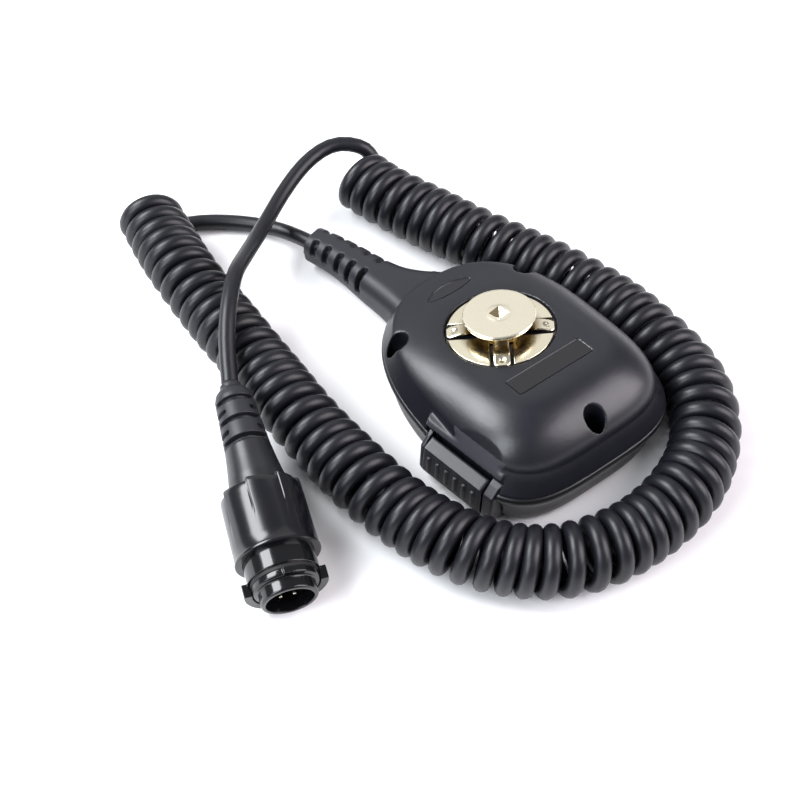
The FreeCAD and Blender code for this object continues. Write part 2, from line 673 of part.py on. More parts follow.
PLUG_LEAD_ROUTE = [
    (22.0, 86.0, 13.5), (21.0, 94.2, 16.8), (14.0, 100.2, 17.6), (3.4, 99.6, 16.4),
    (-7.6, 95.2, 14.4), (-17.6, 89.2, 13.4), (-26.6, 82.6, 15.0), (-34.9, 75.2, 19.4),
    (-43.0, 67.4, 24.4), (-51.0, 57.9, 24.8), (-57.9, 48.8, 21.2), (-63.0, 39.6, 18.2)]


def route_wire(name, route):
    """Straight runs joined by tangent arcs; prints the smallest arc."""
    points = [Vec(*point) for point in route]
    edges = []
    at = points[0]
    radii = []
    for k in range(1, len(points) - 1):
        back = points[k - 1] - points[k]
        ahead = points[k + 1] - points[k]
        shorter = min(back.Length, ahead.Length)
        trim = 0.45 * shorter
        back.normalize()
        ahead.normalize()
        half_turn = (math.pi - back.getAngle(ahead)) / 2
        radii.append(trim / math.tan(half_turn))
        start = points[k] + back * trim
        end = points[k] + ahead * trim
        bisector = (back + ahead).normalize()
        reach = radii[-1] / math.cos(half_turn)
        middle = points[k] + bisector * (reach - radii[-1])
        edges.append(Part.LineSegment(at, start).toShape())
        edges.append(Part.Arc(start, middle, end).toShape())
        at = end
    edges.append(Part.LineSegment(at, points[-1]).toShape())
    print(name, "radii", " ".join("%.1f" % radius for radius in radii))
    return Part.Wire(edges)


def tube(name, route, radius):
    wire = route_wire(name, route)
    direction = Vec(*route[1]) - Vec(*route[0])
    circle = Part.Wire(Part.makeCircle(radius, Vec(*route[0]), direction))
    solid = wire.makePipeShell([circle], True, False)
    print(name, "length %.1f volume ratio %.4f" %
          (wire.Length, solid.Volume / (math.pi * radius ** 2 * wire.Length)))
    return solid


# ---- plug --------------------------------------------------------------------
PLUG_AXIS = (PLUG_MOUTH - PLUG_START).normalize()
PLUG_LENGTH = (PLUG_MOUTH - PLUG_START).Length
BOOT_LENGTH = 20.0
BODY_END = 40.0
COLLAR_START = 32.6
COLLAR_END = 52.4
COLLAR_RADIUS = 11.2
BARREL_RADIUS = 8.7
SLEEVE_RADIUS = 9.28
NOSE_RADIUS = 7.4
NOSE_LENGTH = 3.4
MOUTH_RADIUS = 6.2
MOUTH_DEPTH = 9.4
PLUG_ACROSS = Vec(0, 0, 1).cross(PLUG_AXIS).normalize()
PLUG_UP = PLUG_AXIS.cross(PLUG_ACROSS)
PLUG_PLACE = FreeCAD.Placement(PLUG_START, FreeCAD.Rotation(PLUG_ACROSS, PLUG_UP, PLUG_AXIS, "ZXY"))


def on_plug(shape):
    """Move a shape drawn along +Z from the origin onto the plug's axis."""
    return placed(shape, PLUG_PLACE)


def turned(profile):
    return lathe(profile, Vec(0, 0, 0), Vec(0, 0, 1))


LONG_SLOTS = [5.9, 12.0, 18.1]   # where each slot round the boot starts, from its tip
LONG_SLOT_WIDTH = 1.5
WEB_HALF = 1.4            # left whole between two long slots, at the boot's sides
SHORT_SLOTS = [9.2, 15.3]
SHORT_SLOT_WIDTH = 1.4
SHORT_SLOT_HALF = 4.3


def ring_slot(along, width, floor_radius):
    return turned([(along, floor_radius), (along, 9), (along + width, 9), (along + width, floor_radius)])


def plug_boot():
    boot = turned([(0, 0), (0, 2.8), (1.5, 2.9), (1.9, 3.6), (3.0, 4.6), (4.6, 5.15), (BOOT_LENGTH, 6.1),
                   (BOOT_LENGTH, 0)])
    cuts = []
    for along in LONG_SLOTS:
        web = box(-9, 9, -WEB_HALF, WEB_HALF, along - 1, along + 3)
        cuts.append(ring_slot(along, LONG_SLOT_WIDTH, 3.9).cut(web))
    for along in SHORT_SLOTS:
        side = box(-9, 9, -SHORT_SLOT_HALF, SHORT_SLOT_HALF, along - 1, along + 3)
        cuts.append(ring_slot(along, SHORT_SLOT_WIDTH, 4.1).common(side))
    return on_plug(cut_all(boot, cuts))


def plug_body():
    return on_plug(turned([(BOOT_LENGTH, 0), (BOOT_LENGTH, 6.1), (BOOT_LENGTH + 5, 6.7),
                           (COLLAR_START - 3, 7.4), (COLLAR_START + 2, 7.8), (BODY_END, 7.8), (BODY_END, 0)]))


FLUTE_COUNT = 8
FLUTE_RADIUS = 6.0
FLUTE_DEPTH = 0.5
FLUTE_LENGTH = 11.0       # from behind the collar


def plug_collar():
    inner = SLEEVE_RADIUS + 0.02
    collar = turned([(COLLAR_START, 8.3), (COLLAR_START, COLLAR_RADIUS - 0.9),
                     (COLLAR_START + 0.9, COLLAR_RADIUS), (COLLAR_END - 0.6, COLLAR_RADIUS),
                     (COLLAR_END, COLLAR_RADIUS - 0.6), (COLLAR_END, inner),
                     (COLLAR_START + 4.4, inner), (COLLAR_START + 4.4, 8.3)])
    for k in range(FLUTE_COUNT):
        flute = rod(FLUTE_RADIUS, Vec(COLLAR_RADIUS + FLUTE_RADIUS - FLUTE_DEPTH, 0, COLLAR_START - 1),
                    Vec(0, 0, 1), FLUTE_LENGTH)
        flute.rotate(Vec(0, 0, 0), Vec(0, 0, 1), 360.0 * k / FLUTE_COUNT)
        collar = collar.cut(flute)
    return on_plug(collar)


SEAL_START = 57.8
SEAL_END = 58.8
NOSE_START = PLUG_LENGTH - NOSE_LENGTH
KEY_ANGLE = 74            # degrees round the barrel from its right side, seen from behind
PIN_CIRCLE = 3.6
PIN_COUNT = 6
PIN_LENGTH = 6.5


def sector(inner, outer, first, last, start, end):
    """A piece of a ring between two angles in degrees."""
    corners = [Vec(inner, 0, start), Vec(outer, 0, start), Vec(outer, 0, end), Vec(inner, 0, end)]
    corners.append(corners[0])
    piece = Part.Face(Part.makePolygon(corners)).revolve(Vec(0, 0, 0), Vec(0, 0, 1), last - first)
    piece.rotate(Vec(0, 0, 0), Vec(0, 0, 1), first)
    return piece


def plug_barrel():
    """The barrel, stepped down to the nose, with a groove for its seal and a key on top."""
    mouth = PLUG_LENGTH
    profile = [(BODY_END, 0), (BODY_END, BARREL_RADIUS), (SEAL_START, BARREL_RADIUS),
               (SEAL_START, BARREL_RADIUS - 0.6), (SEAL_END, BARREL_RADIUS - 0.6), (SEAL_END, BARREL_RADIUS),
               (NOSE_START - 0.5, BARREL_RADIUS), (NOSE_START, BARREL_RADIUS - 0.5),
               (NOSE_START, NOSE_RADIUS), (mouth - 0.4, NOSE_RADIUS), (mouth, NOSE_RADIUS - 0.4),
               (mouth, MOUTH_RADIUS), (mouth - MOUTH_DEPTH, MOUTH_RADIUS), (mouth - MOUTH_DEPTH, 0)]
    key = sector(BARREL_RADIUS - 1, SLEEVE_RADIUS, KEY_ANGLE - 19, KEY_ANGLE + 19, SEAL_END, NOSE_START - 0.1)
    return on_plug(turned(profile).fuse(key))


def barrel_seal():
    inner = BARREL_RADIUS - 0.57
    outer = BARREL_RADIUS + 0.02
    return on_plug(turned([(SEAL_START + 0.05, inner), (SEAL_START + 0.05, outer),
                           (SEAL_END - 0.05, outer), (SEAL_END - 0.05, inner)]))


SLEEVE_START = 47.0
SLEEVE_END = 57.7
EAR_RADIUS = 10.8
EAR_SPAN = 55             # degrees that each ear's plate takes below the plug's sides
HOOK_SPAN = 13


def latch_ring():
    """The sleeve in the collar's front, with two hooked ears that grip the radio's socket."""
    inner = BARREL_RADIUS + 0.05
    ring = turned([(SLEEVE_START, inner), (SLEEVE_START, SLEEVE_RADIUS),
                   (SLEEVE_END, SLEEVE_RADIUS), (SLEEVE_END, inner)])
    tip = NOSE_START - 0.05
    for first, last, hook in ((-EAR_SPAN, 4, 4 - HOOK_SPAN), (176, 180 + EAR_SPAN, 176)):
        arm = sector(inner, SLEEVE_RADIUS + 0.1, first, last, SLEEVE_END - 0.5, tip)
        plate = sector(inner, EAR_RADIUS, first, last, tip - 1.5, tip)
        hook_tooth = sector(SLEEVE_RADIUS, EAR_RADIUS, hook, hook + HOOK_SPAN, tip - 3.6, tip)
        ring = fuse_all([ring, arm, plate, hook_tooth])
    return on_plug(ring)


def plug_insert():
    floor = PLUG_LENGTH - MOUTH_DEPTH
    top = floor + 1.6
    radius = MOUTH_RADIUS - 0.03
    insert = turned([(floor, 0), (floor, radius), (top, radius), (top, 0)])
    return on_plug(cut_all(insert, pin_rods(0.52, floor - 1, 4)))


def pin_rods(radius, start, length):
    rods = []
    for k in range(PIN_COUNT):
        angle = 2 * math.pi * k / PIN_COUNT
        rods.append(rod(radius, Vec(PIN_CIRCLE * math.cos(angle), PIN_CIRCLE * math.sin(angle), start),
                        Vec(0, 0, 1), length))
    return rods


def plug_pins():
    floor = PLUG_LENGTH - MOUTH_DEPTH
    pins = pin_rods(0.5, floor, PIN_LENGTH)
    return on_plug(Part.makeCompound([pin.makeFillet(0.2, [pin.Edges[0]]) for pin in pins]))


def collar_spring():
    start = COLLAR_START + 4.45
    return on_plug(turned([(start, 8.1), (start, 8.9), (BODY_END - 0.6, 8.9), (BODY_END - 0.6, 8.1)]))


# ---- assembly ----------------------------------------------------------------
def build():
    back = back_envelope()
    front = front_envelope()
    add("back_shell", back_shell(back))
    add("front_shell", front_shell(front))
    add("label_plate", label_plate())
    add("badge_inlay", badge_inlay(back))
    add("case_screws", case_screws())
    add("hang_up_button", hang_up_button())
    add("spring_plate", spring_plate())
    add("stud_washer", stud_washer())
    add("stud_nut", stud_nut())
    add("hook_contact", hook_contact())
    add("ptt_bezel", ptt_bezel())
    add("ptt_button", ptt_button())
    add("ptt_seal", ptt_seal())
    add("ptt_switch", ptt_switch())
    add("switch_plunger", switch_plunger())
    add("circuit_board", circuit_board())
    add("microphone_capsule", microphone_capsule())
    add("capsule_gasket", capsule_gasket())
    add("capsule_pins", capsule_pins())
    add("dust_cloth", dust_cloth())
    add("board_connector", board_connector())
    add("cord_clamp", cord_clamp())
    add("cord_inner_end", cord_inner_end())
    add("lead_wires", lead_wires())
    add("strain_relief", strain_relief(back.fuse(front)))
    add("cord_mic_lead", tube("cord_mic_lead", MIC_LEAD_ROUTE, CORD_DIAMETER / 2))
    add("cord_coil", tube("cord_coil", COIL_ROUTE, COIL_RADIUS))
    add("cord_plug_lead", tube("cord_plug_lead", PLUG_LEAD_ROUTE, CORD_DIAMETER / 2))
    add("plug_boot", plug_boot())
    add("plug_body", plug_body())
    add("plug_collar", plug_collar())
    add("plug_barrel", plug_barrel())
    add("barrel_seal", barrel_seal())
    add("latch_ring", latch_ring())
    add("plug_insert", plug_insert())
    add("plug_pins", plug_pins())
    add("collar_spring", collar_spring())


def export():
    os.makedirs("parts", exist_ok=True)
    for name, shape in PARTS.items():
        shape.exportStep(os.path.join("parts", name + ".step"))
        limits = shape.BoundBox
        print("%-20s valid %s solids %d volume %9.1f  z %.2f" %
              (name, shape.isValid(), len(shape.Solids), shape.Volume, limits.ZMin))


build()
export()
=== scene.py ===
import json
import math

import bmesh
import bpy
from mathutils import Matrix, Vector

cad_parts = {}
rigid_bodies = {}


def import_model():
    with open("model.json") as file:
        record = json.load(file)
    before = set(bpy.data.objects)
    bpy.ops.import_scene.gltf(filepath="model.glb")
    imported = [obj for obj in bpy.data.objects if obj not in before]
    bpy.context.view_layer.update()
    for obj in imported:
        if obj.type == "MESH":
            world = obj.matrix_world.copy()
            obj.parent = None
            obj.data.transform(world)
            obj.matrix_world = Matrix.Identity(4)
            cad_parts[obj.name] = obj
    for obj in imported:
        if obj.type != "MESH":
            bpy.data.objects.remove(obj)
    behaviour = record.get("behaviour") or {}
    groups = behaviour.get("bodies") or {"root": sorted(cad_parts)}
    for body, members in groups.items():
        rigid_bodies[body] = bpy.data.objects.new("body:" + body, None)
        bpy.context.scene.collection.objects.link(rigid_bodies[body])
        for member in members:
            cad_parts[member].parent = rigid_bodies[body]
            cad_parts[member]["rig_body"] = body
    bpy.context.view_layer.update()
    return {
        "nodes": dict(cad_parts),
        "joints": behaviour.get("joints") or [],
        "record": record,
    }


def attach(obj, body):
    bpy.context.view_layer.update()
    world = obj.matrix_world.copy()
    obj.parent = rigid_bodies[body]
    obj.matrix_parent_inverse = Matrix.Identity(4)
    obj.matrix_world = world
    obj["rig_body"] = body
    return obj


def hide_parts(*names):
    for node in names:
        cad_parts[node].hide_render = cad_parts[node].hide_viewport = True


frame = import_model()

# Hand microphone lying on its face. Lengths are in metres unless a name ends in _MM.

MM = 0.001
NODES = frame["nodes"]

# ---- the cord's route, in millimetres, as the CAD has it -----------------------
COIL_ROUTE_MM = [
    (-42.9, 117.5, 9.75), (-46.0, 101.0, 9.75), (-48.2, 83.0, 9.75), (-48.8, 64.5, 9.75),
    (-49.5, 46.0, 9.75), (-50.6, 28.0, 9.75), (-50.3, 10.0, 9.75), (-49.0, -8.0, 9.75),
    (-45.3, -25.0, 9.75), (-38.0, -40.0, 9.75), (-26.5, -51.0, 9.75), (-11.5, -56.3, 9.75),
    (4.8, -56.8, 9.75), (21.0, -52.7, 9.75), (34.6, -42.8, 9.75), (42.6, -27.8, 9.75),
    (43.8, -10.8, 9.75), (42.5, 5.5, 9.75), (38.4, 21.5, 9.75), (32.2, 37.5, 9.75),
    (26.2, 53.5, 9.75), (20.6, 69.5, 9.75), (16.6, 82.5, 9.75), (15.2, 94.0, 9.75)]

MIC_LEAD_MM = [
    (-9.4, 77.9, 6.6), (-11.0, 86.3, 5.0), (-14.6, 95.0, 3.3), (-21.0, 103.2, 2.5),
    (-30.6, 110.6, 2.5)]

PLUG_LEAD_MM = [
    (21.0, 94.2, 16.8), (14.0, 100.2, 17.6), (3.4, 99.6, 16.4),
    (-7.6, 95.2, 14.4), (-17.6, 89.2, 13.4), (-26.6, 82.6, 15.0), (-34.9, 75.2, 19.4),
    (-43.0, 67.4, 24.4), (-51.0, 57.9, 24.8), (-57.9, 48.8, 21.2), (-63.0, 39.6, 18.2)]

CORD_DIAMETER = 4.6 * MM
HELIX_RADIUS = 7.42 * MM
HELIX_TURNS = 75.3
POINTS_PER_TURN = 16
COIL_MARGIN = 2.6 * MM      # from the first and last turn to the route's ends
PITCH_SWING = 1.2 * MM      # how unevenly the turns are spaced
RADIUS_SWING = 0.012        # how unevenly they are wound, as a share of the radius


# ---- materials -----------------------------------------------------------------
def new_material(name, color, roughness, metallic=0.0, specular=0.5, coat=0.0, coat_roughness=0.1):
    material = bpy.data.materials.new(name)
    material.use_nodes = True
    shader = material.node_tree.nodes["Principled BSDF"]
    shader.inputs["Base Color"].default_value = (*color, 1)
    shader.inputs["Roughness"].default_value = roughness
    shader.inputs["Metallic"].default_value = metallic
    shader.inputs["Specular IOR Level"].default_value = specular
    shader.inputs["Coat Weight"].default_value = coat
    shader.inputs["Coat Roughness"].default_value = coat_roughness
    return material


def node_of(material, kind, **values):
    node = material.node_tree.nodes.new(kind)
    for key, value in values.items():
        if hasattr(node, key):
            setattr(node, key, value)
        else:
            node.inputs[key].default_value = value
    return node


def coordinates(material):
    return node_of(material, "ShaderNodeTexCoord").outputs["Object"]


def ramp(material, source, low, high, start=0.0, end=1.0):
    """A colour ramp from low to high over a 0 to 1 source."""
    node = node_of(material, "ShaderNodeValToRGB")
    node.color_ramp.elements[0].position = start
    node.color_ramp.elements[0].color = (*low, 1)
    node.color_ramp.elements[1].position = end
    node.color_ramp.elements[1].color = (*high, 1)
    material.node_tree.links.new(source, node.inputs["Fac"])
    return node.outputs["Color"]


def noise_of(material, scale, detail=4.0, roughness=0.5):
    node = node_of(material, "ShaderNodeTexNoise", Scale=scale, Detail=detail, Roughness=roughness)
    material.node_tree.links.new(coordinates(material), node.inputs["Vector"])
    return node.outputs["Fac"]


def set_bump(material, heights, strength, distance):
    """Bump from a list of height sources, each stacked on the one before."""
    links = material.node_tree.links
    normal = None
    for source, share in heights:
        bump = node_of(material, "ShaderNodeBump", Strength=strength * share, Distance=distance)
        links.new(source, bump.inputs["Height"])
        if normal is not None:
            links.new(normal, bump.inputs["Normal"])
        normal = bump.outputs["Normal"]
    links.new(normal, material.node_tree.nodes["Principled BSDF"].inputs["Normal"])


def vary(material, socket, source, low, high):
    """A socket that goes from low to high with a 0 to 1 source."""
    node = node_of(material, "ShaderNodeMapRange")
    node.inputs["To Min"].default_value = low
    node.inputs["To Max"].default_value = high
    material.node_tree.links.new(source, node.inputs["Value"])
    shader = material.node_tree.nodes["Principled BSDF"]
    material.node_tree.links.new(node.outputs["Result"], shader.inputs[socket])


def tint(material, source, low, high):
    shader = material.node_tree.nodes["Principled BSDF"]
    material.node_tree.links.new(ramp(material, source, low, high, 0.3, 0.7), shader.inputs["Base Color"])


def moulded(name, low, high, rough, grain=2600, strength=0.25, specular=0.5):
    """Moulded plastic: fine spark-eroded grain, slight unevenness of colour and gloss."""
    material = new_material(name, low, rough, specular=specular)
    tint(material, noise_of(material, 90), low, high)
    vary(material, "Roughness", noise_of(material, 160), rough - 0.04, rough + 0.05)
    set_bump(material, [(noise_of(material, grain, 2.0), 1.0), (noise_of(material, 40, 1.0), 0.12)],
             strength, 0.00004)
    return material


def rubber(name, low, high, rough):
    material = new_material(name, low, rough, specular=0.4)
    tint(material, noise_of(material, 60), low, high)
    vary(material, "Roughness", noise_of(material, 220), rough - 0.05, rough + 0.06)
    set_bump(material, [(noise_of(material, 1500, 3.0), 1.0), (noise_of(material, 120, 2.0), 0.5)],
             0.18, 0.00005)
    return material


def metal(name, low, high, rough, scratches=0.1):
    material = new_material(name, low, rough, metallic=1.0)
    tint(material, noise_of(material, 45), low, high)
    vary(material, "Roughness", noise_of(material, 300, 2.0), rough * 0.9, rough * 1.15)
    set_bump(material, [(noise_of(material, 500, 2.0), 1.0)], scratches, 0.00002)
    return material


def darken_near(material, centre, start, end, color):
    """Darken a material round a point: all of it up to the start, none of it past the end."""
    links = material.node_tree.links
    socket = material.node_tree.nodes["Principled BSDF"].inputs["Base Color"]
    away = node_of(material, "ShaderNodeVectorMath", operation="DISTANCE")
    away.inputs[1].default_value = centre
    links.new(coordinates(material), away.inputs[0])
    share = node_of(material, "ShaderNodeMapRange", interpolation_type="SMOOTHSTEP")
    share.inputs["From Min"].default_value = start
    share.inputs["From Max"].default_value = end
    links.new(away.outputs["Value"], share.inputs["Value"])
    product = node_of(material, "ShaderNodeVectorMath", operation="MULTIPLY")
    links.new(socket.links[0].from_socket, product.inputs[0])
    links.new(ramp(material, share.outputs["Result"], color, (1, 1, 1)), product.inputs[1])
    links.new(product.outputs["Vector"], socket)


def woven(name, color):
    material = new_material(name, color, 0.9)
    wave_x = node_of(material, "ShaderNodeTexWave", Scale=900.0)
    wave_y = node_of(material, "ShaderNodeTexWave", Scale=900.0, bands_direction="Y")
    for wave in (wave_x, wave_y):
        material.node_tree.links.new(coordinates(material), wave.inputs["Vector"])
    set_bump(material, [(wave_x.outputs["Fac"], 1.0), (wave_y.outputs["Fac"], 1.0)], 0.6, 0.0001)
    return material


def solder_mask(name):
    material = new_material(name, (0.01, 0.09, 0.04), 0.3, coat=0.4)
    tint(material, noise_of(material, 400, 1.0), (0.008, 0.07, 0.03), (0.015, 0.12, 0.05))
    return material


MATERIALS = {
    "case_plastic": moulded("case_plastic", (0.0045, 0.0050, 0.0082), (0.0065, 0.0072, 0.0112), 0.34),
    "front_plastic": moulded("front_plastic", (0.0035, 0.0036, 0.0046), (0.0050, 0.0051, 0.0064), 0.42),
    "label_film": moulded("label_film", (0.0040, 0.0040, 0.0055), (0.0055, 0.0055, 0.0072), 0.32, 1800, 0.1),
    "inlay_plastic": moulded("inlay_plastic", (0.0052, 0.0054, 0.0075), (0.0070, 0.0073, 0.0098), 0.38),
    "screw_steel": metal("screw_steel", (0.10, 0.10, 0.11), (0.18, 0.18, 0.19), 0.38),
    "polished_nickel": metal("polished_nickel", (0.88, 0.825, 0.665), (0.90, 0.85, 0.69), 0.27, 0.012),
    # a dark metal for one wall of the punch mark: a painted dark reflection
    "punch_wall_painted_reflection": metal("punch_wall_painted_reflection", (0.045, 0.038, 0.022), (0.07, 0.06, 0.035), 0.35, 0.03),
    # its middle is darkened round the disc's neck by darken_near: a painted dark reflection
    "spring_nickel": metal("spring_nickel", (0.84, 0.78, 0.60), (0.88, 0.82, 0.65), 0.20, 0.02),
    "ptt_plastic": moulded("ptt_plastic", (0.0078, 0.0081, 0.0112), (0.0098, 0.0103, 0.0142), 0.38),
    "switch_plastic": moulded("switch_plastic", (0.008, 0.008, 0.009), (0.012, 0.012, 0.013), 0.5),
    "board_laminate": solder_mask("board_laminate"),
    "capsule_aluminium": metal("capsule_aluminium", (0.66, 0.66, 0.67), (0.75, 0.75, 0.76), 0.3),
    "soft_rubber": rubber("soft_rubber", (0.007, 0.007, 0.008), (0.011, 0.011, 0.012), 0.6),
    "boot_rubber": rubber("boot_rubber", (0.0120, 0.0128, 0.0160), (0.0155, 0.0165, 0.0205), 0.47),
    "cord_jacket": rubber("cord_jacket", (0.0034, 0.0037, 0.0060), (0.0052, 0.0056, 0.0088), 0.39),
    "dust_fabric": woven("dust_fabric", (0.02, 0.02, 0.02)),
    "contact_gold": metal("contact_gold", (0.86, 0.80, 0.66), (0.92, 0.88, 0.78), 0.25),
    "plug_satin": moulded("plug_satin", (0.0060, 0.0064, 0.0080), (0.0085, 0.0090, 0.0110), 0.34, 2200, 0.12),
    "plug_gloss": moulded("plug_gloss", (0.0035, 0.0036, 0.0045), (0.0048, 0.0049, 0.0060), 0.13, 900, 0.03),
    "collar_gloss": moulded("collar_gloss", (0.0035, 0.0037, 0.0052), (0.0048, 0.0050, 0.0070), 0.21,
                            900, 0.03),
    # lighter than the case: a painted highlight on the brow's facet and ledge, matt of its own
    "brow_matt_painted_light": moulded("brow_matt_painted_light", (0.0270, 0.0270, 0.0330), (0.0330, 0.0330, 0.0400), 0.45),
    "insert_plastic": moulded("insert_plastic", (0.003, 0.003, 0.0035), (0.0045, 0.0045, 0.005), 0.5),
}
SLOT_OF = {row["node"]: row["material_slot"] for row in frame["record"]["subparts"]}


def paint(piece, slot):
    piece.data.materials.clear()
    piece.data.materials.append(MATERIALS[slot])
    return piece


for node_name, node_object in NODES.items():
    paint(node_object, SLOT_OF[node_name])


# ---- curves --------------------------------------------------------------------
def nurbs(name, points, thickness=0.0, resolution=4):
    """A curve of one open NURBS spline of order 3 through its end points."""
    data = bpy.data.curves.new(name, "CURVE")
    data.dimensions = "3D"
    spline = data.splines.new("NURBS")
    spline.points.add(len(points) - 1)
    for point, place in zip(spline.points, points):
        point.co = (*place, 1)
    spline.order_u = 3
    spline.use_endpoint_u = True
    spline.resolution_u = resolution
    data.bevel_depth = thickness
    data.bevel_resolution = 5
    data.use_fill_caps = thickness > 0
    piece = bpy.data.objects.new(name, data)
    bpy.context.scene.collection.objects.link(piece)
    return piece


def in_metres(points):
    return [Vector(point) * MM for point in points]


def read_line(points):
    """Points along the smooth line of a route."""
    line = nurbs("route_line", points, 0.0, 24)
    mesh = bpy.data.meshes.new_from_object(line)
    found = [vertex.co.copy() for vertex in mesh.vertices]
    data = line.data
    bpy.data.objects.remove(line)
    bpy.data.meshes.remove(mesh)
    bpy.data.curves.remove(data)
    return found


class Line:
    """A polyline that is read by the distance along it."""

    def __init__(self, points):
        self.points = points
        self.marks = [0.0]
        for before, after in zip(points, points[1:]):
            self.marks.append(self.marks[-1] + (after - before).length)
        self.length = self.marks[-1]
        self.place = 0

    def at(self, distance):
        distance = min(max(distance, 0.0), self.length - 1e-9)
        while self.place > 0 and self.marks[self.place] > distance:
            self.place -= 1
        while self.marks[self.place + 1] < distance:
            self.place += 1
        start, end = self.marks[self.place], self.marks[self.place + 1]
        share = (distance - start) / (end - start)
        return self.points[self.place].lerp(self.points[self.place + 1], share)

    def along(self, distance):
        reach = 2 * MM
        return (self.at(distance + reach) - self.at(distance - reach)).normalized()


def helix_points():
    """The coil's turns about the smooth line of its route, from its left end."""
    line = Line(read_line(in_metres(COIL_ROUTE_MM)))
    count = int(HELIX_TURNS * POINTS_PER_TURN)
    control = HELIX_RADIUS / (0.75 + 0.25 * math.cos(2 * math.pi / POINTS_PER_TURN))
    found = []
    for k in range(count + 1):
        share = k / count
        angle = -math.pi / 2 + 2 * math.pi * HELIX_TURNS * share
        uneven = PITCH_SWING * math.sin(23 * share) * math.sin(57 * share + 1)
        distance = COIL_MARGIN + (line.length - 2 * COIL_MARGIN) * share + uneven
        direction = line.along(distance)
        side = direction.cross(Vector((0, 0, 1))).normalized()
        up = side.cross(direction)
        radius = control * (1 - RADIUS_SWING * (1 + math.sin(71 * share + 2)))
        found.append(line.at(distance) + side * (radius * math.cos(angle)) + up * (radius * math.sin(angle)))
    return found


def curly_cord():
    points = in_metres(MIC_LEAD_MM) + helix_points() + in_metres(PLUG_LEAD_MM)
    piece = nurbs("curly_cord", points, CORD_DIAMETER / 2, 3)
    paint(piece, "cord_jacket")
    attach(piece, "root")
    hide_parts("cord_mic_lead", "cord_coil", "cord_plug_lead")
    return piece


# ---- camera, light, floor --------------------------------------------------------
def look_at(piece, target):
    piece.rotation_euler = (Vector(target) - piece.location).to_track_quat("-Z", "Y").to_euler()


def make_camera():
    data = bpy.data.cameras.new("camera")
    data.lens = 70.4
    data.sensor_width = 36.0
    camera = bpy.data.objects.new("camera", data)
    bpy.context.scene.collection.objects.link(camera)
    camera.location = (-0.1829, -0.1941, 0.3432)
    look_at(camera, (-0.0260, 0.0137, 0.010))
    bpy.context.scene.camera = camera


def soft_light(name, place, size, power, color):
    data = bpy.data.lights.new(name, "AREA")
    data.shape = "RECTANGLE"
    data.size, data.size_y = size
    data.energy = power
    data.color = color
    light = bpy.data.objects.new(name, data)
    light.location = place
    bpy.context.scene.collection.objects.link(light)
    look_at(light, (0, 0, 0.02))


def make_studio():
    world = bpy.data.worlds.new("studio")
    world.use_nodes = True
    background = world.node_tree.nodes["Background"]
    background.inputs["Color"].default_value = (0.93, 0.94, 1.0, 1)
    background.inputs["Strength"].default_value = 0.30
    bpy.context.scene.world = world
    soft_light("key", (-0.40, 0.52, 0.68), (0.6, 0.45), 13, (0.95, 0.97, 1.0))
    soft_light("back", (0.42, 0.62, 0.58), (0.9, 0.8), 1.45, (1.0, 0.99, 0.97))
    soft_light("left", (-0.70, -0.05, 0.50), (0.35, 0.55), 5.5, (0.90, 0.94, 1.0))
    soft_light("right", (0.46, -0.44, 0.50), (0.60, 0.70), 8.5, (1.0, 0.93, 0.98))
    bpy.ops.mesh.primitive_plane_add(size=6, location=(0, 0, 0))
    floor = bpy.context.active_object
    floor.name = "floor"
    material = new_material("floor_paper", (0.93, 0.93, 0.93), 0.5)
    floor.data.materials.append(material)
    bpy.context.scene.view_settings.view_transform = "Standard"


make_camera()
make_studio()
cord = curly_cord()


# ---- parts with moulded, softly rounded edges ------------------------------------
def softened(node, grid, passes):
    """The CAD node's shape with the slightly rounded edges that a mould leaves."""
    source = NODES[node]
    mesh = source.data.copy()
    piece = bpy.data.objects.new(node + "_moulded", mesh)
    bpy.context.scene.collection.objects.link(piece)
    shape = bmesh.new()
    shape.from_mesh(mesh)
    bmesh.ops.remove_doubles(shape, verts=shape.verts, dist=1e-6)
    shape.to_mesh(mesh)
    shape.free()
    remesh = piece.modifiers.new("remesh", "REMESH")
    remesh.mode = "VOXEL"
    remesh.voxel_size = grid
    smooth = piece.modifiers.new("smooth", "SMOOTH")
    smooth.factor = 0.5
    smooth.iterations = passes
    bpy.context.view_layer.update()
    evaluated = piece.evaluated_get(bpy.context.evaluated_depsgraph_get())
    final = bpy.data.meshes.new_from_object(evaluated)
    piece.modifiers.clear()
    piece.data = final
    bpy.data.meshes.remove(mesh)
    for polygon in final.polygons:
        polygon.use_smooth = True
    paint(piece, SLOT_OF[node])
    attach(piece, source["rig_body"])
    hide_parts(node)
    return piece


MOULDED = {}
for node_name, grid, passes in (("back_shell", 0.3, 4), ("front_shell", 0.35, 4), ("strain_relief", 0.27, 4),
                                ("ptt_bezel", 0.18, 4), ("ptt_button", 0.16, 3), ("plug_boot", 0.16, 3),
                                ("plug_body", 0.2, 4), ("plug_barrel", 0.17, 3), ("latch_ring", 0.13, 2)):
    MOULDED[node_name] = softened(node_name, grid * MM, passes)


# ---- the brow's matt facet with a painted highlight --------------------------------
PRESS_AXIS = Vector(next(row for row in frame["joints"] if row["name"] == "ptt_press")["axis"])
BROW_ALONG = Vector((0, 0, 1)).cross(PRESS_AXIS).normalized()
BROW_POINT = Vector((-28.0, -14.5, 0.0)) * MM
BROW_DEPTH_MM = (-0.4, 3.4)     # how far in from the point the brow reaches
BROW_LENGTH_MM = (-14.2, 12.9)  # and how far to each side of it
# the heights between which the facet is painted lighter, as a highlight
BROW_HEIGHT_MM = (19.0, 23.8)
FACET_EDGE_MM = (0.3, 19.6)     # how far in and how high the facet starts
FACET_STEEPNESS = 2.23          # its rise for each millimetre inwards
FACET_REACH_MM = 0.7            # a face this near to the facet's plane is on it
LEDGE_HEIGHT_MM = 20.7          # the flat top at the cord's end
LEDGE_STEEPNESS = 0.12
LEDGE_REACH_MM = 0.5
LEDGE_FLATNESS = 0.85           # the least upward part of its faces' normals


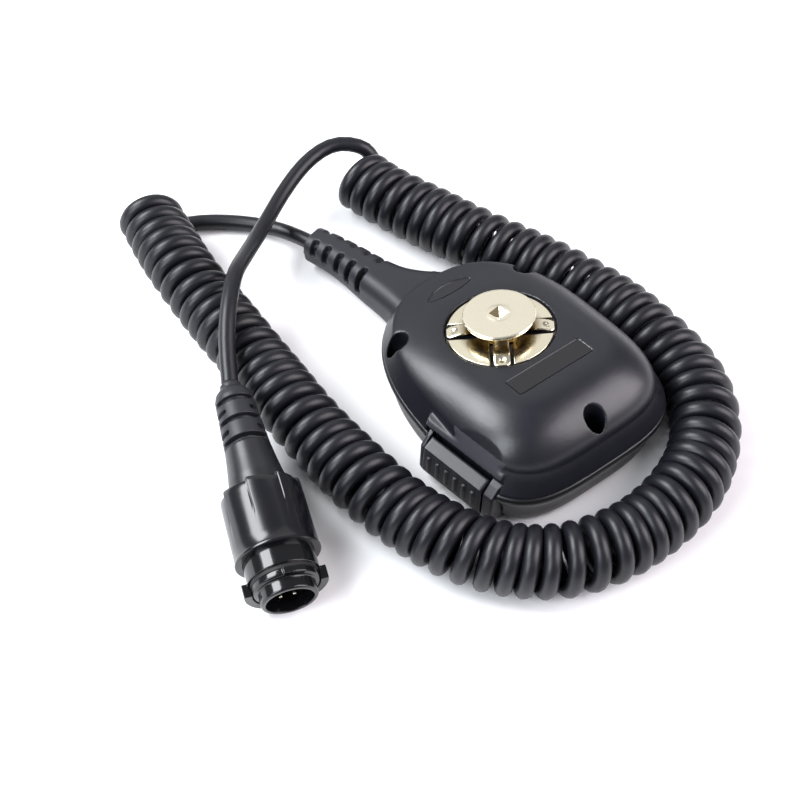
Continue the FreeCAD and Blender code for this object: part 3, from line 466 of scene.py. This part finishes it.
def paint_brow(shell):
    """A matt plastic on the facet above the push-to-talk bar, and on the ledge where it stands clear; its
    lighter colour is a painted highlight.
    """
    shell.data.materials.append(MATERIALS["brow_matt_painted_light"])
    for polygon in shell.data.polygons:
        middle = polygon.center - BROW_POINT
        inward = middle.dot(PRESS_AXIS) / MM
        along = middle.dot(BROW_ALONG) / MM
        height = middle.z / MM
        in_length = BROW_LENGTH_MM[0] < along < BROW_LENGTH_MM[1]
        in_depth = BROW_DEPTH_MM[0] < inward < BROW_DEPTH_MM[1]
        if not in_length or not in_depth:
            continue
        over_ledge = height - LEDGE_HEIGHT_MM - LEDGE_STEEPNESS * inward
        flat = polygon.normal.z > LEDGE_FLATNESS and abs(over_ledge) < LEDGE_REACH_MM
        under_facet = (FACET_EDGE_MM[1] - height) + (inward - FACET_EDGE_MM[0]) * FACET_STEEPNESS
        facet = abs(under_facet) < FACET_REACH_MM and BROW_HEIGHT_MM[0] < height < BROW_HEIGHT_MM[1]
        if flat or facet:
            # these faces take the lighter material: painted highlight
            polygon.material_index = 1


paint_brow(MOULDED["back_shell"])


# ---- mesh helpers ----------------------------------------------------------------
def finish_mesh(name, shape, slot, body, node=None, smooth_angle=35):
    """Make an object of a bmesh, paint it and ride it on a body."""
    bmesh.ops.recalc_face_normals(shape, faces=shape.faces)
    mesh = bpy.data.meshes.new(name)
    shape.to_mesh(mesh)
    shape.free()
    piece = bpy.data.objects.new(name, mesh)
    bpy.context.scene.collection.objects.link(piece)
    mesh.polygons.foreach_set("use_smooth", [True] * len(mesh.polygons))
    mesh.set_sharp_from_angle(angle=math.radians(smooth_angle))
    paint(piece, slot)
    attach(piece, body)
    if node:
        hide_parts(node)
    return piece


def place(shape, matrix):
    bmesh.ops.transform(shape, matrix=matrix, verts=shape.verts)


def standing_at(point, axis):
    """The placement that puts the origin at a point and +Z along an axis."""
    turn = Vector((0, 0, 1)).rotation_difference(axis)
    return Matrix.Translation(point) @ turn.to_matrix().to_4x4()


def ring_of(shape, radius, height, count):
    """A ring of vertices about +Z, in millimetres."""
    ring = []
    for k in range(count):
        angle = 2 * math.pi * k / count
        place_mm = Vector((radius * math.cos(angle), radius * math.sin(angle), height))
        ring.append(shape.verts.new(place_mm * MM))
    return ring


def ring_grid(shape, rings, closed_rows=False):
    """Faces between rings of vertices, each ring closed on itself."""
    rows = list(zip(rings, rings[1:]))
    if closed_rows:
        rows.append((rings[-1], rings[0]))
    count = len(rings[0])
    for lower, upper in rows:
        for k in range(count):
            after = (k + 1) % count
            shape.faces.new((lower[k], lower[after], upper[after], upper[k]))


# ---- hang-up button and its spring plate -------------------------------------------
BUTTON_MOUNT = next(row for row in frame["record"]["mounts"] if row["name"] == "hang_up_button")
PLATEAU_AXIS = Vector(BUTTON_MOUNT["axis"]).normalized()
MOUNT_HEIGHT_MM = 1.725     # the mount's point over the plateau
PLATEAU_POINT = Vector(BUTTON_MOUNT["pos_m"]) - PLATEAU_AXIS * (MOUNT_HEIGHT_MM * MM)
PLATEAU = standing_at(PLATEAU_POINT, PLATEAU_AXIS)

# (radius, height over the plateau) in millimetres, from the stud's tip up and over the disc
BUTTON_PROFILE_MM = [
    (2.7, -9.1), (3.0, -8.8), (3.0, -0.4), (4.6, -0.3), (4.6, 3.3), (4.9, 3.66), (9.1, 3.72), (9.45, 3.85),
    (9.55, 4.1), (9.55, 4.28), (9.42, 4.36), (9.42, 4.42), (9.66, 4.5), (9.75, 4.65), (9.75, 4.9),
    (9.62, 5.1), (9.35, 5.19), (9.1, 5.2), (4.6, 5.2), (3.6, 5.21), (3.3, 5.26), (3.05, 5.34), (2.8, 5.36)]
BUTTON_SEGMENTS = 128
PUNCH_HALF_MM = 2.1
PUNCH_DEPTH_MM = 1.9
PUNCH_DRAFT = 0.92          # the mark's corners stand in by this share
PUNCH_RIM_MM = 0.02         # and this much over the disc
PUNCH_TURN = 45 + 8         # degrees to its first corner


def hang_up_button():
    """A turned disc on a neck, with a four-sided punch mark in its middle."""
    shape = bmesh.new()
    rings = [ring_of(shape, radius, height, BUTTON_SEGMENTS) for radius, height in BUTTON_PROFILE_MM]
    ring_grid(shape, rings)
    shape.faces.new(list(reversed(rings[0])))
    top = rings[-1]
    rim = BUTTON_PROFILE_MM[-1][1] + PUNCH_RIM_MM
    reach = PUNCH_HALF_MM * math.sqrt(2) * MM * PUNCH_DRAFT
    corners = []
    for k in range(4):
        angle = math.radians(PUNCH_TURN + 90 * k)
        corners.append(shape.verts.new((reach * math.cos(angle), reach * math.sin(angle), rim * MM)))
    bottom = shape.verts.new((0, 0, (rim - PUNCH_DEPTH_MM) * MM))
    quarter = BUTTON_SEGMENTS // 4
    first = round(PUNCH_TURN / 360 * BUTTON_SEGMENTS)
    for k in range(4):
        after = (k + 1) % 4
        shape.faces.new((corners[k], corners[after], bottom))
        middle = (first + quarter * k + quarter // 2) % BUTTON_SEGMENTS
        for step in range(-(quarter // 2), quarter // 2):
            here = (middle + step) % BUTTON_SEGMENTS
            there = (here + 1) % BUTTON_SEGMENTS
            corner = corners[k] if step < 0 else corners[after]
            shape.faces.new((top[here], top[there], corner))
        shape.faces.new((corners[k], top[middle], corners[after]))
    place(shape, PLATEAU)
    piece = finish_mesh("hang_up_button_turned", shape, "polished_nickel", "root", "hang_up_button", 24)
    # the punch mark's dark wall is a painted dark reflection
    piece.data.materials.append(MATERIALS["punch_wall_painted_reflection"])
    paint_punch_wall_reflection(piece)
    return piece


def paint_punch_wall_reflection(button):
    """One of the punch mark's four walls gets a dark metal, a painted dark reflection."""
    turn_back = Matrix.Rotation(math.radians(-PUNCH_TURN), 4, "Z") @ PLATEAU.inverted()
    for polygon in button.data.polygons:
        middle = turn_back @ polygon.center / MM
        in_mark = 0 < middle.z < BUTTON_PROFILE_MM[-1][1] - 0.3 and middle.xy.length < PUNCH_HALF_MM
        if in_mark and middle.x > 0 and middle.y > 0:
            # this wall takes the dark metal: painted dark reflection
            polygon.material_index = 1


PLATE_RADIUS_MM = 14.35
PLATE_TOP_MM = -0.3
PLATE_THICKNESS_MM = 0.85
PLATE_HOLE_MM = 5.2
PLATE_EDGE_MM = 0.16
FINGER_TURN = 53            # degrees to the first finger
FINGER_HALF_MM = 2.15
SLOT_MM = 0.95
FINGER_START_MM = 4.9       # from the neck's axis
FINGER_LENGTH_MM = 9.4
FINGER_THICKNESS_MM = 0.62
FINGER_EDGE_MM = 0.14       # how much its edges are rounded off
FINGER_BOW_MM = 0.95
FINGER_CROWN_MM = 0.05
DIMPLE_ALONG = 0.80         # share of the finger's length
DIMPLE_DEPTH_MM = 0.42
DIMPLE_RADIUS_MM = 0.72


def quarter_turn(index):
    return PLATEAU @ Matrix.Rotation(math.radians(FINGER_TURN + 90 * index), 4, "Z")


def plate_quadrant(index):
    """A flat quarter of the spring plate between two fingers."""
    shape = bmesh.new()
    side = FINGER_HALF_MM + SLOT_MM
    outline = []
    for radius, steps in ((PLATE_RADIUS_MM, 20), (PLATE_HOLE_MM, 6)):
        start = math.asin(side / radius)
        end = math.pi / 2 - start
        angles = [start + (end - start) * k / steps for k in range(steps + 1)]
        if radius < PLATE_RADIUS_MM:
            angles.reverse()
        outline += [(radius * math.cos(angle), radius * math.sin(angle)) for angle in angles]
    face = shape.faces.new([shape.verts.new((x * MM, y * MM, PLATE_TOP_MM * MM)) for x, y in outline])
    found = bmesh.ops.extrude_face_region(shape, geom=[face])
    lower = [item for item in found["geom"] if isinstance(item, bmesh.types.BMVert)]
    bmesh.ops.translate(shape, verts=lower, vec=(0, 0, -PLATE_THICKNESS_MM * MM))
    rim = [edge for edge in shape.edges
           if all(abs(vert.co.z - PLATE_TOP_MM * MM) < 1e-7 for vert in edge.verts)]
    bmesh.ops.bevel(shape, geom=rim, offset=PLATE_EDGE_MM * MM, segments=3, profile=0.5, affect="EDGES")
    place(shape, quarter_turn(index))
    return finish_mesh("spring_plate_quadrant_%d" % (index + 1), shape, "spring_nickel", "root", None, 30)


def finger_height(along, across):
    """Height of a finger's top in millimetres; along runs from 0 at the neck to 1 at its tip."""
    bow = FINGER_BOW_MM * math.sin(math.pi * min(1.0, along * 1.02)) ** 1.3
    crown = -FINGER_CROWN_MM * (across / FINGER_HALF_MM) ** 2
    distance = math.hypot((along - DIMPLE_ALONG) * FINGER_LENGTH_MM, across)
    dimple = -DIMPLE_DEPTH_MM * math.exp(-(distance / DIMPLE_RADIUS_MM) ** 2)
    return PLATE_TOP_MM + bow + crown + dimple


def spring_finger(index):
    """A leaf of the spring plate, bowed up, with a pressed dimple near its tip."""
    shape = bmesh.new()
    rows, columns = 44, 20
    layers = []
    for lower in (False, True):
        grid = []
        for row in range(rows + 1):
            along = row / rows
            tip = max(0.0, (along - 0.88) / 0.12)
            width = FINGER_HALF_MM * (1 - 0.32 * tip ** 2.2)
            line = []
            for column in range(columns + 1):
                share = 2 * column / columns - 1
                across = width * share
                edge = max(0.0, abs(share) - 0.86) / 0.14
                height = finger_height(along, across) - FINGER_EDGE_MM * edge ** 2
                if lower:
                    height -= FINGER_THICKNESS_MM - FINGER_EDGE_MM * edge ** 2
                radius = FINGER_START_MM + FINGER_LENGTH_MM * along
                line.append(shape.verts.new((radius * MM, across * MM, height * MM)))
            grid.append(line)
        layers.append(grid)
    top, bottom = layers
    for row in range(rows):
        for column in range(columns):
            for grid in layers:
                shape.faces.new((grid[row][column], grid[row + 1][column],
                                 grid[row + 1][column + 1], grid[row][column + 1]))
        for column in (0, columns):
            shape.faces.new((top[row][column], top[row + 1][column],
                             bottom[row + 1][column], bottom[row][column]))
    for row in (0, rows):
        for column in range(columns):
            shape.faces.new((top[row][column], top[row][column + 1],
                             bottom[row][column + 1], bottom[row][column]))
    place(shape, quarter_turn(index))
    return finish_mesh("spring_finger_%d" % (index + 1), shape, "spring_nickel", "root", None, 40)


def plate_hub():
    """The middle of the spring plate, under the disc's neck."""
    shape = bmesh.new()
    profile = [(3.05, -1.15), (5.9, -1.15), (5.9, -0.62), (5.7, -0.5), (3.05, -0.5)]
    rings = [ring_of(shape, radius, height, 64) for radius, height in profile]
    ring_grid(shape, rings, closed_rows=True)
    place(shape, PLATEAU)
    return finish_mesh("spring_plate_hub", shape, "spring_nickel", "root", "spring_plate", 30)


SHADE_START_MM = 8.2        # the dark reflection under the disc
SHADE_END_MM = 12.2
SHADE_COLOR = (0.17, 0.12, 0.05)
# a painted dark reflection under the disc, darkening the spring plate round its neck
darken_near(MATERIALS["spring_nickel"], PLATEAU_POINT, SHADE_START_MM * MM, SHADE_END_MM * MM, SHADE_COLOR)
hang_up_button()
plate_hub()
for quarter_index in range(4):
    plate_quadrant(quarter_index)
    spring_finger(quarter_index)


# ---- plug collar -------------------------------------------------------------------
COLLAR_JOINT = next(row for row in frame["joints"] if row["name"] == "collar_turn")
PLUG_AXIS = Vector(COLLAR_JOINT["axis"]).normalized()
COLLAR_MIDDLE = Vector(COLLAR_JOINT["pos_m"])
PLUG = standing_at(COLLAR_MIDDLE, PLUG_AXIS)

# (distance from the collar's middle along the plug, radius) in millimetres, round the outside and
# back inside
COLLAR_PROFILE_MM = [
    (-9.9, 8.3), (-9.9, 10.0), (-9.7, 10.35), (-9.2, 10.6), (-8.1, 10.65), (-6.0, 10.72), (-4.5, 10.74),
    (-3.0, 10.76), (-1.5, 10.78), (0.0, 10.8), (1.5, 10.82), (3.0, 10.84), (6.0, 10.86), (8.6, 10.9),
    (8.95, 11.05), (9.2, 11.15), (9.6, 11.12), (9.85, 10.9), (9.9, 10.6), (9.9, 9.35), (-5.4, 9.35),
    (-5.5, 8.3)]
FACETS = 8
COLLAR_STEPS = 384
OUTSIDE_RADIUS_MM = 9.9     # the profile's points past this radius and before the rim are the facets'
RIM_START_MM = 8.7
BACK_EDGE_MM = -8.0
BACK_SWEEP_MM = 1.2         # how far the back edge slants over one facet
FACET_RISE_MM = 0.24
FACET_SINK_MM = 0.14
STEP_TURN = 0.96            # share of a facet's turn where it drops to the next one
STEP_WIDTH = 0.04
GROOVE_TURN = 0.965
GROOVE_WIDTH = 0.022
GROOVE_DEPTH_MM = 0.28


def share_of(distance, length):
    return min(1.0, max(0.0, distance / length))


def facet_swell(turn, along):
    """How far the collar's outside stands out over one facet, in millimetres.

    The facets die out towards the front, and the grooves between them at the middle.
    """
    rise = FACET_RISE_MM * turn ** 1.6 - FACET_SINK_MM
    step = 0.0 if turn < STEP_TURN else -FACET_RISE_MM * ((turn - STEP_TURN) / STEP_WIDTH)
    groove = -GROOVE_DEPTH_MM * math.exp(-((turn - GROOVE_TURN) / GROOVE_WIDTH) ** 2)
    return (rise + step) * share_of(8.0 - along, 16.0) + groove * share_of(1.0 - along, 2.0)


def collar():
    """A ring that is plain at the front and breaks up into overlapping facets like shingles at the back."""
    shape = bmesh.new()
    rings = []
    for along, radius in COLLAR_PROFILE_MM:
        outside = radius > OUTSIDE_RADIUS_MM and along < RIM_START_MM
        ring = []
        for k in range(COLLAR_STEPS):
            angle = 2 * math.pi * k / COLLAR_STEPS
            turn = (k * FACETS / COLLAR_STEPS) % 1.0
            reach = radius
            shift = 0.0
            if outside:
                reach += facet_swell(turn, along)
                if along < BACK_EDGE_MM:
                    shift = BACK_SWEEP_MM * (1 - turn)
            ring.append(shape.verts.new((reach * math.cos(angle) * MM, reach * math.sin(angle) * MM,
                                         (along + shift) * MM)))
        rings.append(ring)
    ring_grid(shape, rings, closed_rows=True)
    place(shape, PLUG)
    piece = finish_mesh("plug_collar_faceted", shape, "plug_gloss", "plug_collar", "plug_collar", 32)
    piece.data.materials[0] = MATERIALS["collar_gloss"]
    return piece


collar_piece = collar()
